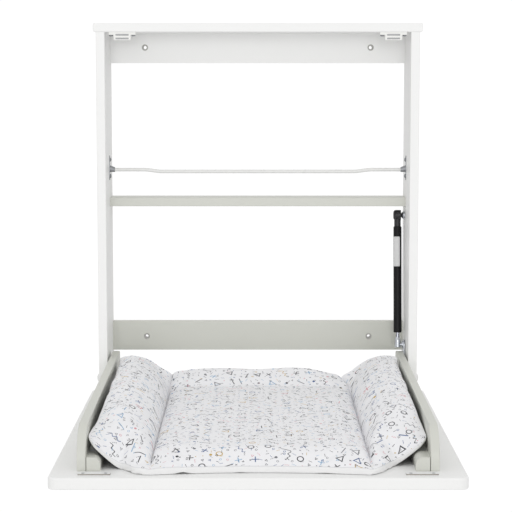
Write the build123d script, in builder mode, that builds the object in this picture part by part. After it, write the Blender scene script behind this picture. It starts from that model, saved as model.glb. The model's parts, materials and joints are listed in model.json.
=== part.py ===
"""Wall-mounted fold-down changing table, in millimetres.

A shallow white frame is screwed to the wall through two rails. A flap with grey side boards turns on two
bolts at the foot of the frame, is eased by one gas strut on the right, and carries a padded mat. Closed,
the flap stands in front of the frame and two magnetic catches hold it.

X is to the viewer's right, Y points into the wall and Z is up. The origin lies on the wall, in the middle
of the four wall screws. The flap is drawn open, as it is used.
"""

from build123d import *

import os
from math import asin, cos, pi, radians, sin, sqrt, tan

# Boards of the frame
frame_width = 688.0
frame_depth = 165.0
board = 19.0
stile_length = 787.0
top_overhang = 6.0
top_end_r = 4.0
edge_round = 1.5
rail_height = 65.0
rail_spacing = 640.0
wall_hole_spacing = 498.0
wall_hole_rise = 644.0
wall_hole_r = 3.75
wall_sink_r = 6.8
shelf_depth = 68.0
shelf_underside_z = -25.5

# Long screws that join the boards, with their cover caps
joint_screw_r = 3.5
joint_tip_r = 2.5
joint_head_r = 5.0
joint_head_height = 4.0
joint_screw_length = 50.0
joint_screw_pitch = 40.0
shelf_screw_pitch = 26.0
cap_r = 6.0
cap_height = 1.0
dowel_r = 4.0
dowel_length = 30.0
dowel_in_top = 13.0
dowel_inset = 37.5
screw_play = 0.1
sink_angle = 90.0

# Rod that keeps things on the shelf, in two screwed sockets
rod_r = 4.0
rod_above_shelf = 58.0
rod_drop = 4.0
rod_crank_at = 215.0
rod_crank_run = 30.0
rod_bend_r = 60.0
rod_front_of_shelf = 3.0
socket_r = 7.5
socket_rise = 2.5
socket_tip_r = 5.5
socket_tip_round = 1.0
socket_length = 12.0
socket_bore_depth = 9.0
socket_plate = 1.0
socket_plate_height = 54.0
socket_plate_rise = 4.0
socket_screw_pitch = 36.0
small_screw_r = 1.75
small_head_r = 4.4
small_head_height = 3.2
small_screw_length = 14.0
plate_head_r = 3.2

# Pivot of the flap
pivot_setback = 38.0
stop_gap = 0.4
side_gap = 4.0
bolt_r = 5.0
bolt_head_r = 8.5
bolt_head_height = 7.0
bush_wall = 2.0
bush_flange_r = 12.0
bush_flange = 1.5
bush_play = 0.06
spacer_r = 12.0
nut_r = 9.0
nut_height = 8.0
turn_gap = 0.3

# Flap and its side boards
flap_board = 22.0
flap_overhang = 24.0
flap_tail = 62.0
flap_corner_r = 15.0
flap_round = 3.0
side_board = 16.0
side_tail = 53.0
side_front_setback = 50.0
side_rear_height = 90.0
side_front_height = 76.0
side_nose_r = 58.0
side_heel_r = 8.0
cleat_width = 26.0
cleat_height = 25.0
cleat_round = 13.0
cleat_relief = 1.2
cleat_relief_run = 8.0
cleat_tail = 30.0
cleat_screw_count = 4
cleat_screw_r = 2.0
cleat_head_r = 4.0
cleat_screw_length = 37.0
cleat_screw_stagger = 40.0

# Magnetic catches under the top board, and their strike plates on the flap
catch_from_stile = 37.0
catch_width = 36.0
catch_depth = 16.0
catch_height = 17.0
catch_ear_width = 57.0
catch_ear = 6.0
catch_screw_pitch = 47.5
catch_face_drop = 9.8
pole_width = 27.5
pole_plate = 3.0
pole_depth = 13.0
pole_proud = 0.5
magnet_height = 4.7
magnet_web = 2.0
strike_width = 57.0
strike_height = 14.0
strike_plate = 2.0
strike_screw_pitch = 40.0

# Gas strut on the right, from the flap's bracket to the stile
strut_from_stile = 15.5
foot_behind_pivot = 50.0
foot_above_pivot = 65.2
head_behind_pivot = 84.0
head_below_shelf = 21.5
ball_r = 5.0
ball_play = 0.25
ball_neck_r = 3.0
mouth_play = 1.5
stud_flange_r = 8.0
stud_flange = 3.0
head_flange_r = 8.5
head_flange = 2.0
strut_tube_r = 9.0
strut_wall = 2.0
strut_cap = 2.0
strut_rim_r = 1.8
strut_tube_from_foot = 26.5
strut_tube_from_head = 25.0
strut_rod_r = 4.0
strut_gas_length = 53.0
strut_rod_play = 0.05
strut_gland_length = 20.0
strut_piston_length = 10.0
strut_piston_play = 0.2
rod_end_r = 6.5
rod_end_top = 10.0
rod_end_neck_r = 4.8
rod_end_length = 16.0
head_socket_r = 11.5
head_socket_round = 5.5
head_neck_r = 7.2
bracket_plate = 2.5
bracket_width = 30.0
bracket_foot_drop = 48.0
bracket_ahead = 20.0
bracket_top = 11.0
bracket_screw_drops = (24.0, 40.0)

# Mat with raised wings on three sides, and the tapes that hold it
mat_side_gap = 1.5
mat_front_gap = 5.0
mat_rear_setback = 24.0
mat_flat_half = 188.0
mat_thickness = 24.0
mat_crown = 9.0
wing_rear_height = 92.0
wing_front_height = 70.0
wing_thickness = 25.0
wing_crown = 7.0
wing_bulge = 4.0
wing_front_slant = 34.0
tail_rise_height = 71.0
tail_rise_run = 60.0
tail_round = 16.0
tape_thickness = 2.0
tape_width = 25.0
tape_length = 120.0
tape_x = 120.0
tape_pitch = 340.0

# Levels and places that follow from the sizes above
inner_half = frame_width / 2 - board
front_y = -frame_depth
stile_top = rail_spacing / 2 + rail_height / 2
stile_bottom = stile_top - stile_length
pivot_y = front_y + pivot_setback
pivot_z = stile_bottom + pivot_setback
flap_top_z = pivot_z - pivot_setback - stop_gap
flap_rear_y = pivot_y + flap_tail
flap_front_y = pivot_y - (stile_top + board - pivot_z)
side_outer = inner_half - side_gap
side_inner = side_outer - side_board
side_rear_y = pivot_y + side_tail
side_front_y = flap_front_y + side_front_setback
cleat_rear_y = pivot_y - cleat_tail
catch_x = inner_half - catch_from_stile
catch_face_y = front_y - stop_gap + strike_plate + turn_gap
catch_centre_z = stile_top - catch_face_drop
strike_y = pivot_y - (catch_centre_z - pivot_z)
shelf_top_z = shelf_underside_z + board
rod_y = -shelf_depth - rod_front_of_shelf
rod_z = shelf_top_z + rod_above_shelf
rod_end_z = rod_z + rod_drop
strut_x = inner_half - strut_from_stile
foot = Vector(strut_x, pivot_y + foot_behind_pivot, pivot_z + foot_above_pivot)
head = Vector(strut_x, pivot_y + head_behind_pivot, shelf_underside_z - head_below_shelf)
strut_length = (head - foot).length
strut_way = (head - foot).normalized()
strut_axis = Axis(foot, strut_way)
strut_section = Plane(foot, x_dir=(1, 0, 0), z_dir=Vector(1, 0, 0).cross(strut_way))
tube_end = strut_length - strut_tube_from_head
rod_tip = tube_end - strut_cap - strut_gas_length - strut_piston_length
mat_half = side_inner - mat_side_gap - wing_bulge
mat_bottom_z = flap_top_z + tape_thickness
mat_rear_y = front_y + mat_rear_setback
mat_front_y = pivot_y - (stile_top - pivot_z) + mat_front_gap
mat_mid_y = (mat_rear_y + mat_front_y) / 2

SIDES = (("left", -1), ("right", 1))
LOW = (Align.CENTER, Align.CENTER, Align.MIN)
pieces = []


def keep(name, builder):
    """Labels a finished piece and sets it aside to be written."""
    builder.part.label = name
    pieces.append(builder.part)


def facing(points, way):
    """Planes at the points, whose normal is the way a screw head faces."""
    return [Plane(point, z_dir=way) for point in points]


def round_bar(planes, radius, length, mode=Mode.ADD):
    """Bars or bores that start on each plane and run against its normal."""
    with Locations(*planes):
        Cylinder(radius, length, align=(Align.CENTER, Align.CENTER, Align.MAX), mode=mode)


def small_screws(planes):
    """Round-headed screws: the head stands on each plane and the shank runs into the wood."""
    with Locations(*planes):
        Cylinder(small_head_r, small_head_height, align=LOW)
    round_bar(planes, small_screw_r, small_screw_length)


def sunk_screws(planes, head_radius, radius, length):
    """Countersunk screws, flush with each plane, each turned as one solid."""
    sink = (head_radius - radius) / tan(radians(sink_angle / 2))
    for plane in planes:
        half = Plane(plane.origin, x_dir=plane.x_dir, z_dir=plane.y_dir)
        with BuildSketch(half) as profile:
            with BuildLine():
                Polyline((0, 0), (head_radius, 0), (radius, sink), (radius, length), (0, length), close=True)
            make_face()
        revolve(profile.sketch, axis=Axis(plane.origin, plane.z_dir))


def sunk_holes(planes, head_radius, radius, depth):
    """Countersunk holes with a little play round sunk_screws of the same sizes."""
    with Locations(*planes):
        CounterSinkHole(radius + screw_play, head_radius + screw_play, depth, sink_angle)


# Frame: stiles, top board, rails and shelf
def joint_planes(sign):
    """Where the long screws enter a stile: two in each rail end and two in the shelf's end."""
    face_x = sign * frame_width / 2
    spots = []
    for rail_z in (-rail_spacing / 2, rail_spacing / 2):
        for rise in (-joint_screw_pitch / 2, joint_screw_pitch / 2):
            spots.append((face_x, -board / 2, rail_z + rise))
    for step in (-shelf_screw_pitch / 2, shelf_screw_pitch / 2):
        spots.append((face_x, -shelf_depth / 2 + step, shelf_underside_z + board / 2))
    return facing(spots, (sign, 0, 0))


def tip_planes(sign):
    """The stile's inner face, where the thin end of each long screw enters a rail or the shelf."""
    return [plane.offset(-board) for plane in joint_planes(sign)]


def dowel_planes():
    """Lower ends of the dowels that set the top board on the stiles."""
    foot_z = stile_top - (dowel_length - dowel_in_top)
    spots = []
    for _, sign in SIDES:
        for y in (front_y + dowel_inset, -dowel_inset):
            spots.append((sign * (inner_half + board / 2), y, foot_z))
    return facing(spots, (0, 0, -1))


def socket_screw_planes(sign):
    """Faces of a rod socket's plate under its two screw heads."""
    x = sign * (inner_half - socket_plate)
    middle_z = rod_end_z + socket_plate_rise
    rises = (-socket_screw_pitch / 2, socket_screw_pitch / 2)
    return facing([(x, rod_y, middle_z + rise) for rise in rises], (-sign, 0, 0))


def catch_screw_planes():
    """Undersides of the catches' ears under their screw heads."""
    y = catch_face_y + pole_proud + catch_depth / 2
    spots = []
    for _, sign in SIDES:
        for step in (-catch_screw_pitch / 2, catch_screw_pitch / 2):
            spots.append((sign * catch_x + step, y, stile_top - catch_ear))
    return facing(spots, (0, 0, -1))


def pivot_plane(x, sign):
    """Plane across the pivot axis at x, facing outwards."""
    return Plane((x, pivot_y, pivot_z), z_dir=(sign, 0, 0))


for side, sign in SIDES:
    with BuildPart() as stile:
        low_x = inner_half if sign > 0 else -inner_half - board
        toe = (pivot_y - pivot_setback * cos(pi / 4), pivot_z - pivot_setback * sin(pi / 4))
        with BuildSketch(Plane.YZ.offset(low_x)):
            with BuildLine():
                Polyline((front_y, pivot_z), (front_y, stile_top), (0, stile_top), (0, stile_bottom))
                Line((0, stile_bottom), (pivot_y, stile_bottom))
                ThreePointArc((pivot_y, stile_bottom), toe, (front_y, pivot_z))
            make_face()
        extrude(amount=board)
        fillet(stile.edges().filter_by(Axis.Z).group_by(Axis.Y)[0], edge_round)
        round_bar(joint_planes(sign), joint_screw_r + screw_play, board, Mode.SUBTRACT)
        round_bar(joint_planes(sign), joint_head_r + screw_play, joint_head_height, Mode.SUBTRACT)
        round_bar(dowel_planes(), dowel_r + screw_play, dowel_length, Mode.SUBTRACT)
        round_bar([pivot_plane(sign * frame_width / 2, sign)], bolt_r + screw_play, board, Mode.SUBTRACT)
        round_bar(socket_screw_planes(sign), small_screw_r + screw_play, small_screw_length, Mode.SUBTRACT)
    keep(f"{side}_stile", stile)

with BuildPart() as top_board:
    with BuildSketch(Plane.XY.offset(stile_top)):
        with Locations((0, front_y / 2)):
            Rectangle(frame_width + 2 * top_overhang, frame_depth)
    extrude(amount=board)
    fillet(top_board.edges().filter_by(Axis.Y), top_end_r)
    fillet(top_board.faces().sort_by(Axis.Y)[0].edges(), edge_round)
    round_bar(dowel_planes(), dowel_r + screw_play, dowel_length, Mode.SUBTRACT)
    round_bar(catch_screw_planes(), small_screw_r + screw_play, small_screw_length, Mode.SUBTRACT)
keep("top_board", top_board)

for level, sign in (("lower", -1), ("upper", 1)):
    with BuildPart() as wall_rail:
        rail_z = sign * rail_spacing / 2
        with BuildSketch(Plane.XZ):
            with Locations((0, rail_z)):
                Rectangle(2 * inner_half, rail_height)
        extrude(amount=board)
        hole_z = sign * wall_hole_rise / 2
        hole_spots = [(step * wall_hole_spacing / 2, -board, hole_z) for step in (-1, 1)]
        with Locations(*facing(hole_spots, (0, -1, 0))):
            CounterSinkHole(wall_hole_r, wall_sink_r, board, sink_angle)
        for _, end in SIDES:
            round_bar(tip_planes(end), joint_tip_r + screw_play, joint_screw_length - board, Mode.SUBTRACT)
    keep(f"{level}_wall_rail", wall_rail)

with BuildPart() as shelf_board:
    with BuildSketch(Plane.XY.offset(shelf_underside_z)):
        with Locations((0, -shelf_depth / 2)):
            Rectangle(2 * inner_half, shelf_depth)
    extrude(amount=board)
    fillet(shelf_board.edges().filter_by(Axis.X).group_by(Axis.Y)[0], edge_round)
    for _, end in SIDES:
        round_bar(tip_planes(end), joint_tip_r + screw_play, joint_screw_length - board, Mode.SUBTRACT)
keep("shelf_board", shelf_board)

with BuildPart() as frame_screws:
    for _, sign in SIDES:
        round_bar(joint_planes(sign), joint_head_r, joint_head_height)
        round_bar(joint_planes(sign), joint_screw_r, board)
        round_bar(joint_planes(sign), joint_tip_r, joint_screw_length)
keep("frame_screws", frame_screws)

with BuildPart() as screw_caps:
    for _, sign in SIDES:
        with Locations(*joint_planes(sign)):
            Cylinder(cap_r, cap_height, align=LOW)
keep("frame_screw_caps", screw_caps)

with BuildPart() as dowels:
    round_bar(dowel_planes(), dowel_r, dowel_length)
keep("top_board_dowels", dowels)

# Rod above the shelf, its sockets and their screws
with BuildPart() as retaining_rod:
    end_x = inner_half - socket_length + socket_bore_depth
    crank_x = rod_crank_at + rod_crank_run
    route = [(-end_x, rod_end_z), (-crank_x, rod_end_z), (-rod_crank_at, rod_z)]
    route += [(-x, z) for x, z in reversed(route)]
    with BuildLine(Plane.XZ.offset(-rod_y)):
        FilletPolyline(*route, radius=rod_bend_r)
    with BuildSketch(Plane((-end_x, rod_y, rod_end_z), z_dir=(1, 0, 0))):
        Circle(rod_r)
    sweep()
keep("retaining_rod", retaining_rod)

for side, sign in SIDES:
    with BuildPart() as rod_socket:
        seat = Plane((sign * inner_half, rod_y, rod_end_z), x_dir=(0, -sign, 0), z_dir=(-sign, 0, 0))
        nose = seat.offset(socket_length)
        with BuildSketch(seat):
            with Locations((0, socket_plate_rise)):
                SlotOverall(socket_plate_height, 2 * socket_r, rotation=90)
        extrude(amount=socket_plate)
        with BuildSketch(seat):
            with Locations((0, socket_rise)):
                Circle(socket_r)
        with BuildSketch(nose):
            Circle(socket_tip_r)
        loft()
        fillet(rod_socket.faces().sort_by(Axis.X)[0 if sign > 0 else -1].edges(), socket_tip_round)
        round_bar([nose], rod_r + screw_play, socket_bore_depth, Mode.SUBTRACT)
        round_bar(socket_screw_planes(sign), small_screw_r + screw_play, socket_plate, Mode.SUBTRACT)
    keep(f"rod_socket_{side}", rod_socket)

with BuildPart() as rod_socket_screws:
    for _, sign in SIDES:
        small_screws(socket_screw_planes(sign))
keep("rod_socket_screws", rod_socket_screws)

# Magnetic catches
pole_stack = magnet_height + 2 * pole_plate
for side, sign in SIDES:
    with BuildPart() as catch_housing:
        back_y = catch_face_y + pole_proud
        with BuildSketch(Plane.XZ.offset(-back_y - catch_depth)):
            with Locations((sign * catch_x, stile_top)):
                Rectangle(catch_width, catch_height, align=(Align.CENTER, Align.MAX))
                Rectangle(catch_ear_width, catch_ear, align=(Align.CENTER, Align.MAX))
        extrude(amount=catch_depth)
        fillet(catch_housing.edges().filter_by(Axis.Y).group_by(Axis.Z)[0], edge_round)
        pocket_width = pole_width + 2 * screw_play
        with BuildSketch(Plane.XZ.offset(-back_y)):
            with Locations((sign * catch_x, catch_centre_z)):
                Rectangle(pocket_width, pole_stack + 2 * screw_play)
                Rectangle(pocket_width, magnet_height - 2 * screw_play, mode=Mode.SUBTRACT)
        extrude(amount=-pole_depth, mode=Mode.SUBTRACT)
        with BuildSketch(Plane.XZ.offset(-back_y - magnet_web)):
            with Locations((sign * catch_x, catch_centre_z)):
                Rectangle(pocket_width, magnet_height)
        extrude(amount=magnet_web - pole_depth, mode=Mode.SUBTRACT)
        round_bar(catch_screw_planes(), small_screw_r + screw_play, catch_ear, Mode.SUBTRACT)
    keep(f"catch_housing_{side}", catch_housing)

with BuildPart() as catch_poles:
    with BuildSketch(Plane.XZ.offset(-catch_face_y)):
        for _, sign in SIDES:
            for rise in (-1, 1):
                with Locations((sign * catch_x, catch_centre_z + rise * (magnet_height + pole_plate) / 2)):
                    Rectangle(pole_width, pole_plate)
    extrude(amount=-pole_depth)
keep("catch_pole_plates", catch_poles)

with BuildPart() as catch_magnets:
    magnet_y = catch_face_y + pole_proud + magnet_web + screw_play
    with BuildSketch(Plane.XZ.offset(-magnet_y)):
        with Locations(*[(sign * catch_x, catch_centre_z) for _, sign in SIDES]):
            Rectangle(pole_width, magnet_height)
    extrude(amount=magnet_web + pole_proud + screw_play - pole_depth)
keep("catch_magnets", catch_magnets)

with BuildPart() as catch_screws:
    small_screws(catch_screw_planes())
keep("catch_screws", catch_screws)

# Pivot bolts of the flap, with their spacers and lock nuts
nut_x = side_inner - bush_flange - turn_gap
for side, sign in SIDES:
    with BuildPart() as pivot_bolt:
        outer = pivot_plane(sign * frame_width / 2, sign)
        with Locations(outer):
            Cylinder(bolt_head_r, bolt_head_height, align=LOW)
        fillet(pivot_bolt.faces().sort_by(Axis.X)[-1 if sign > 0 else 0].edges(), bolt_head_height / 2)
        round_bar([outer], bolt_r, frame_width / 2 - nut_x + nut_height)
    keep(f"pivot_bolt_{side}", pivot_bolt)

with BuildPart() as pivot_spacers:
    for _, sign in SIDES:
        seat = pivot_plane(sign * inner_half, sign)
        round_bar([seat], spacer_r, side_gap - turn_gap)
        round_bar([seat], bolt_r + screw_play, side_gap, Mode.SUBTRACT)
keep("pivot_spacers", pivot_spacers)

with BuildPart() as lock_nuts:
    for _, sign in SIDES:
        with BuildSketch(pivot_plane(sign * nut_x, -sign)):
            RegularPolygon(nut_r, 6, major_radius=False)
            Circle(bolt_r + screw_play, mode=Mode.SUBTRACT)
        extrude(amount=nut_height)
keep("pivot_lock_nuts", lock_nuts)

# Flap panel with its strike plates
strike_spots = [(sign * catch_x, strike_y, flap_top_z + strike_plate) for _, sign in SIDES]


def strike_screw_planes():
    """Top faces of the strike plates at their screws."""
    steps = (-strike_screw_pitch / 2, strike_screw_pitch / 2)
    return facing([(x + step, y, z) for x, y, z in strike_spots for step in steps], (0, 0, 1))


def cleat_screw_planes(sign):
    """Seats of the screws that hold a cleat: down into the flap, and sideways into the side board."""
    run = cleat_rear_y - side_front_y - 2 * cleat_screw_stagger
    pitch = run / (cleat_screw_count - 1)
    spots = [side_front_y + cleat_screw_stagger + index * pitch for index in range(cleat_screw_count)]
    middle_x = sign * (side_inner - (cleat_width - cleat_round) / 2)
    inner_x = sign * (side_inner - cleat_width)
    shift = cleat_screw_stagger / 2
    down = [(middle_x, y + shift, flap_top_z + cleat_height) for y in spots[:-1]]
    aside = [(inner_x, y - shift, flap_top_z + (cleat_height - cleat_round) / 2) for y in spots]
    return facing(down, (0, 0, 1)), facing(aside, (-sign, 0, 0))


with BuildPart() as flap_panel:
    with BuildSketch(Plane.XY.offset(flap_top_z - flap_board)):
        with Locations((0, (flap_front_y + flap_rear_y) / 2)):
            RectangleRounded(frame_width + 2 * flap_overhang, flap_rear_y - flap_front_y, flap_corner_r)
    extrude(amount=flap_board)
    fillet(flap_panel.faces().filter_by(Axis.Z).edges(), flap_round)
    pilot = small_screw_length - strike_plate
    round_bar([p.offset(-strike_plate) for p in strike_screw_planes()], small_screw_r + screw_play, pilot,
              Mode.SUBTRACT)
    for _, sign in SIDES:
        down, _ = cleat_screw_planes(sign)
        round_bar(down, cleat_screw_r + screw_play, cleat_screw_length, Mode.SUBTRACT)
keep("flap_panel", flap_panel)

with BuildPart() as strike_plates:
    with BuildSketch(Plane.XY.offset(flap_top_z)):
        with Locations(*[(x, y) for x, y, _ in strike_spots]):
            RectangleRounded(strike_width, strike_height, edge_round)
    extrude(amount=strike_plate)
    sunk_holes(strike_screw_planes(), plate_head_r, small_screw_r, strike_plate)
keep("strike_plates", strike_plates)

with BuildPart() as strike_plate_screws:
    sunk_screws(strike_screw_planes(), plate_head_r, small_screw_r, small_screw_length)
keep("strike_plate_screws", strike_plate_screws)

# Side boards with their bushes, and the cleats that fix them to the panel
heel_z = flap_top_z + side_rear_height
nose_z = flap_top_z + side_front_height
bracket_y = foot.Y - bracket_ahead
bracket_screw_spots = [(side_outer + bracket_plate, foot.Y - bracket_ahead / 2, foot.Z - drop)
                       for drop in bracket_screw_drops]
bracket_screw_planes = facing(bracket_screw_spots, (1, 0, 0))

for side, sign in SIDES:
    with BuildPart() as side_piece:
        low_x = side_inner if sign > 0 else -side_outer
        with BuildSketch(Plane.YZ.offset(low_x)) as outline:
            with BuildLine():
                Polyline((side_front_y, flap_top_z), (side_front_y, nose_z), (side_rear_y, heel_z),
                         (side_rear_y, flap_top_z), close=True)
            make_face()
            fillet(outline.vertices().sort_by(Axis.Y)[-1], side_heel_r)
            fillet(outline.vertices().sort_by(Axis.X)[0:2].sort_by(Axis.Y)[-1], side_nose_r)
        extrude(amount=side_board)
        fillet(side_piece.faces().filter_by(Axis.X).edges().group_by(Axis.Z)[1:], edge_round)
        round_bar([pivot_plane(sign * side_outer, sign)], bolt_r + bush_wall, side_board, Mode.SUBTRACT)
        _, aside = cleat_screw_planes(sign)
        round_bar(aside, cleat_screw_r + screw_play, cleat_screw_length, Mode.SUBTRACT)
        if sign > 0:
            round_bar(bracket_screw_planes, small_screw_r + screw_play, small_screw_length, Mode.SUBTRACT)
    keep(f"{side}_side_board", side_piece)

    with BuildPart() as bush:
        mouth = pivot_plane(sign * side_outer, sign)
        flange = pivot_plane(sign * side_inner, -sign)
        round_bar([mouth], bolt_r + bush_wall - bush_play, side_board)
        with Locations(flange):
            Cylinder(bush_flange_r, bush_flange, align=LOW)
        round_bar([mouth], bolt_r + bush_play, side_board + bush_flange, Mode.SUBTRACT)
    keep(f"pivot_bush_{side}", bush)

    with BuildPart() as cleat:
        with BuildSketch(Plane.XZ.offset(-cleat_rear_y)):
            with Locations((sign * (side_inner - cleat_width / 2), flap_top_z + cleat_height / 2)):
                Rectangle(cleat_width, cleat_height)
        extrude(amount=cleat_rear_y - side_front_y)
        inner_edges = cleat.edges().filter_by(Axis.Y).group_by(Axis.Z)[-1]
        fillet(inner_edges.sort_by(Axis.X)[0 if sign > 0 else -1], cleat_round)
        with Locations((sign * (side_inner - cleat_relief / 2), side_front_y, flap_top_z)):
            Box(cleat_relief, 2 * cleat_relief_run, 2 * cleat_height, mode=Mode.SUBTRACT)
        down, aside = cleat_screw_planes(sign)
        sunk_holes(down, cleat_head_r, cleat_screw_r, cleat_height)
        sunk_holes(aside, cleat_head_r, cleat_screw_r, cleat_width)
    keep(f"{side}_cleat", cleat)

with BuildPart() as cleat_screws:
    for _, sign in SIDES:
        for planes in cleat_screw_planes(sign):
            sunk_screws(planes, cleat_head_r, cleat_screw_r, cleat_screw_length)
keep("cleat_screws", cleat_screws)

# Gas strut: bracket and stud on the flap, stud on the stile
bracket_top_z = foot.Z + bracket_top
bracket_foot_z = foot.Z - bracket_foot_drop
with BuildPart() as strut_bracket:
    with BuildSketch(Plane.YZ.offset(side_outer)):
        with Locations((bracket_y + bracket_width / 2, (bracket_top_z + bracket_foot_z) / 2)):
            RectangleRounded(bracket_width, bracket_top_z - bracket_foot_z, bracket_top - edge_round)
    extrude(amount=bracket_plate)
    sunk_holes(bracket_screw_planes, plate_head_r, small_screw_r, bracket_plate)
keep("strut_bracket", strut_bracket)

with BuildPart() as strut_bracket_screws:
    sunk_screws(bracket_screw_planes, plate_head_r, small_screw_r, small_screw_length)
keep("strut_bracket_screws", strut_bracket_screws)


def turned_stud(seat, shank, dome_start, dome_mid, dome_end, mode=Mode.ADD):
    """A stud, or its cavity, turned about the seat plane's normal: shank points, then a ball-shaped end."""
    with BuildSketch(Plane(seat.origin, x_dir=seat.x_dir, z_dir=-seat.y_dir)) as profile:
        with BuildLine():
            Polyline(dome_end, (0, 0), *shank, dome_start)
            ThreePointArc(dome_start, dome_mid, dome_end)
        make_face()
    revolve(profile.sketch, axis=Axis(seat.origin, seat.z_dir), mode=mode)


with BuildPart() as foot_stud:
    reach = side_outer - strut_x
    flange = [(stud_flange_r, 0), (stud_flange_r, stud_flange), (ball_neck_r, stud_flange)]
    ball_start = (ball_neck_r, reach - sqrt(ball_r**2 - ball_neck_r**2))
    turned_stud(Plane((side_outer, foot.Y, foot.Z), z_dir=(-1, 0, 0)), flange, ball_start, (ball_r, reach),
                (0, reach + ball_r))
keep("strut_foot_stud", foot_stud)

with BuildPart() as head_stud:
    reach = strut_from_stile - head_neck_r - turn_gap
    dome = reach - head_flange
    dome_r = (head_flange_r**2 + dome**2) / (2 * dome)
    half_turn = asin(head_flange_r / dome_r) / 2
    dome_mid = (dome_r * sin(half_turn), reach - dome_r * (1 - cos(half_turn)))
    turned_stud(Plane((inner_half, head.Y, head.Z), z_dir=(-1, 0, 0)), [(head_flange_r, 0)],
                (head_flange_r, head_flange), dome_mid, (0, reach))
keep("strut_head_stud", head_stud)


# Gas strut: rod with its end and piston, then tube with its gland and head
def turned(*points):
    """Turns an outline of (radius, distance from the foot ball) about the strut's axis."""
    with BuildSketch(strut_section) as profile:
        with BuildLine():
            Polyline(*points, close=True)
        make_face()
    revolve(profile.sketch, axis=strut_axis)


with BuildPart() as rod_end:
    turned((0, -rod_end_r), (rod_end_r, -rod_end_r), (rod_end_r, rod_end_top),
           (rod_end_neck_r, rod_end_length), (0, rod_end_length))
    fillet(rod_end.faces().sort_by(strut_axis)[0].edges(), edge_round)
    cup_r = ball_r + ball_play
    mouth_r = ball_neck_r + mouth_play
    reach = rod_end_r + mouth_play
    cup_start = (mouth_r, reach - sqrt(cup_r**2 - mouth_r**2))
    turned_stud(Plane(foot + Vector(reach, 0, 0), z_dir=(-1, 0, 0)), [(mouth_r, 0)], cup_start,
                (cup_r, reach), (0, reach + cup_r), Mode.SUBTRACT)
keep("strut_rod_end", rod_end)

with BuildPart() as strut_rod:
    turned((0, rod_end_length), (strut_rod_r, rod_end_length), (strut_rod_r, rod_tip), (0, rod_tip))
keep("strut_rod", strut_rod)

bore_r = strut_tube_r - strut_wall
with BuildPart() as strut_piston:
    piston_r = bore_r - strut_piston_play
    turned((0, rod_tip), (piston_r, rod_tip), (piston_r, rod_tip + strut_piston_length),
           (0, rod_tip + strut_piston_length))
keep("strut_piston", strut_piston)

with BuildPart() as strut_tube:
    turned((bore_r, strut_tube_from_foot), (strut_tube_r, strut_tube_from_foot), (strut_tube_r, tube_end),
           (0, tube_end), (0, tube_end - strut_cap), (bore_r, tube_end - strut_cap))
    rim = strut_tube.faces().filter_by(GeomType.CYLINDER).sort_by(SortBy.AREA)[-1]
    fillet(rim.edges(), strut_rim_r)
keep("strut_tube", strut_tube)

with BuildPart() as strut_gland:
    gland_bore = strut_rod_r + strut_rod_play
    gland_top = strut_tube_from_foot + strut_gland_length
    turned((gland_bore, strut_tube_from_foot), (bore_r - screw_play, strut_tube_from_foot),
           (bore_r - screw_play, gland_top), (gland_bore, gland_top))
keep("strut_gland", strut_gland)

with BuildPart() as head_socket:
    round_bar([Plane(head + Vector(head_neck_r, 0, 0), z_dir=(1, 0, 0))], head_socket_r,
              head_neck_r + strut_tube_r)
    fillet(head_socket.faces().sort_by(Axis.X)[0].edges(), head_socket_round)
    turned((0, tube_end), (head_neck_r, tube_end), (head_neck_r, strut_length), (0, strut_length))
keep("strut_head_socket", head_socket)


# Mat: one padded piece with a wing on each side and at the rear
def mat_section(y, half, wing_top, centre_top, centre_under, edge):
    """A cross-section of the mat: flat middle, crowned top and two slanting wings with edges this thick."""
    flat = min(mat_flat_half, half - wing_thickness)
    valley = mat_bottom_z + centre_top
    under = mat_bottom_z + centre_under
    tip = mat_bottom_z + wing_top
    heel = tip - edge
    tip_x = half - edge / 4
    edge_mid = (half + wing_bulge, (tip + heel) / 2)
    wing_mid = ((tip_x + flat) / 2, (tip + valley) / 2 + wing_crown)
    with BuildSketch(Plane.XZ.offset(-y)) as section:
        with BuildLine():
            Line((-flat, under), (flat, under))
            Line((flat, under), (half, heel))
            ThreePointArc((half, heel), edge_mid, (tip_x, tip))
            ThreePointArc((tip_x, tip), wing_mid, (flat, valley))
            ThreePointArc((flat, valley), (0, valley + mat_crown), (-flat, valley))
            ThreePointArc((-flat, valley), (-wing_mid[0], wing_mid[1]), (-tip_x, tip))
            ThreePointArc((-tip_x, tip), (-edge_mid[0], edge_mid[1]), (-half, heel))
            Line((-half, heel), (-flat, under))
        make_face()
    return section.sketch


with BuildPart() as changing_mat:
    tail_under = tail_rise_height - mat_thickness
    tail_valley = tail_rise_height - mat_crown
    ridge_y = mat_rear_y - tail_round
    valley_y = mat_rear_y - tail_rise_run
    wing_front_y = mat_front_y + wing_front_slant
    nose_half = mat_flat_half + wing_thickness
    slant_half = (nose_half + mat_half) / 2
    slant_top = (wing_front_height + mat_thickness) / 2
    middle_top = (wing_rear_height + wing_front_height) / 2
    sections = [
        mat_section(mat_rear_y, mat_half - tail_round / 2, wing_rear_height - tail_round,
                    tail_rise_height - tail_round, tail_under, wing_thickness / 2),
        mat_section(ridge_y, mat_half, wing_rear_height, tail_valley, tail_under / 2, wing_thickness),
        mat_section(valley_y, mat_half, wing_rear_height, mat_thickness, 0, wing_thickness),
        mat_section(mat_mid_y, mat_half, middle_top, mat_thickness, 0, wing_thickness),
        mat_section(wing_front_y, mat_half, wing_front_height, mat_thickness, 0, wing_thickness),
        mat_section((wing_front_y + mat_front_y) / 2, slant_half, slant_top, mat_thickness, 0,
                    wing_thickness),
        mat_section(mat_front_y, nose_half, mat_thickness, mat_thickness / 2, mat_thickness / 4,
                    mat_thickness / 4),
    ]
    loft(sections=sections, ruled=True)
keep("changing_mat", changing_mat)

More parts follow.
